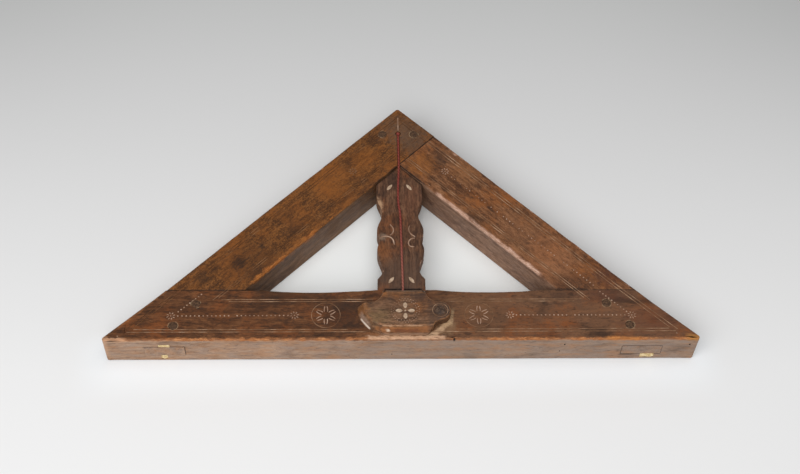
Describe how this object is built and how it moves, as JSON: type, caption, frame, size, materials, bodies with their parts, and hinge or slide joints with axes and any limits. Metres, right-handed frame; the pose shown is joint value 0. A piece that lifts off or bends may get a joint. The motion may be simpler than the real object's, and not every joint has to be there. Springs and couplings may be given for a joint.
{
  "type": "square level",
  "caption": "Wooden right-angled frame that stands on its sole bar; a plumb cord and its covered bob show when the sole is level.",
  "frame": {"origin": "middle of the bounding box, on the plane of the frame's back, on which it lies", "axes": "+X along the sole bar to the right, +Y from the sole to the apex, +Z out of the carved face"},
  "size_m": [0.48, 0.2384, 0.0404],
  "materials": {
    "sole_bar_wood": "old waxed walnut, dark brown",
    "left_rafter_wood": "old waxed walnut, orange brown",
    "right_rafter_wood": "old waxed walnut, greyish brown",
    "board_wood": "old waxed walnut, purplish brown",
    "cover_wood": "old waxed walnut, olive brown, worn edges",
    "pivot_wood": "dark polished peg",
    "peg_wood": "dark end grain",
    "slip_wood": "pale split wood",
    "bone": "polished bone",
    "cord_red": "twisted faded red cord",
    "bob_metal": "dull grey cast metal"
  },
  "bodies": {
    "frame": {"base_bar": "sole_bar_wood", "left_rafter": "left_rafter_wood", "right_rafter": "right_rafter_wood", "plumb_board": "board_wood", "cover_pivot": "pivot_wood", "apex_peg_left": "peg_wood", "apex_peg_right": "peg_wood", "left_foot_peg_upper": "peg_wood", "left_foot_peg_lower": "peg_wood", "right_foot_peg_upper": "peg_wood", "right_foot_peg_lower": "peg_wood", "left_slip_front": "slip_wood", "left_slip_back": "slip_wood", "right_slip_back": "slip_wood", "board_leaf_upper_left": "bone", "board_leaf_upper_right": "bone", "board_leaf_lower_left": "bone", "board_leaf_lower_right": "bone", "cord_knot": "cord_red", "cord_upper": "cord_red"},
    "cover": {"bob_cover": "cover_wood", "cover_petal_right": "bone", "cover_petal_top": "bone", "cover_petal_left": "bone", "cover_petal_bottom": "bone", "cover_flower_eye": "bone"},
    "plumb": {"cord_lower": "cord_red", "plumb_bob": "bob_metal"}
  },
  "joints": [
    {"name": "cover_swivel", "type": "hinge", "parent": "frame", "child": "cover", "pos_m": [0.0303, -0.09623, 0.032], "axis": [0, 0, 1], "range_deg": [0, 180]},
    {"name": "plumb_swing", "type": "hinge", "parent": "frame", "child": "plumb", "pos_m": [0, 0.05663, 0.0312], "axis": [0, 0, 1], "range_deg": [-3.5, 3.5]}
  ]
}
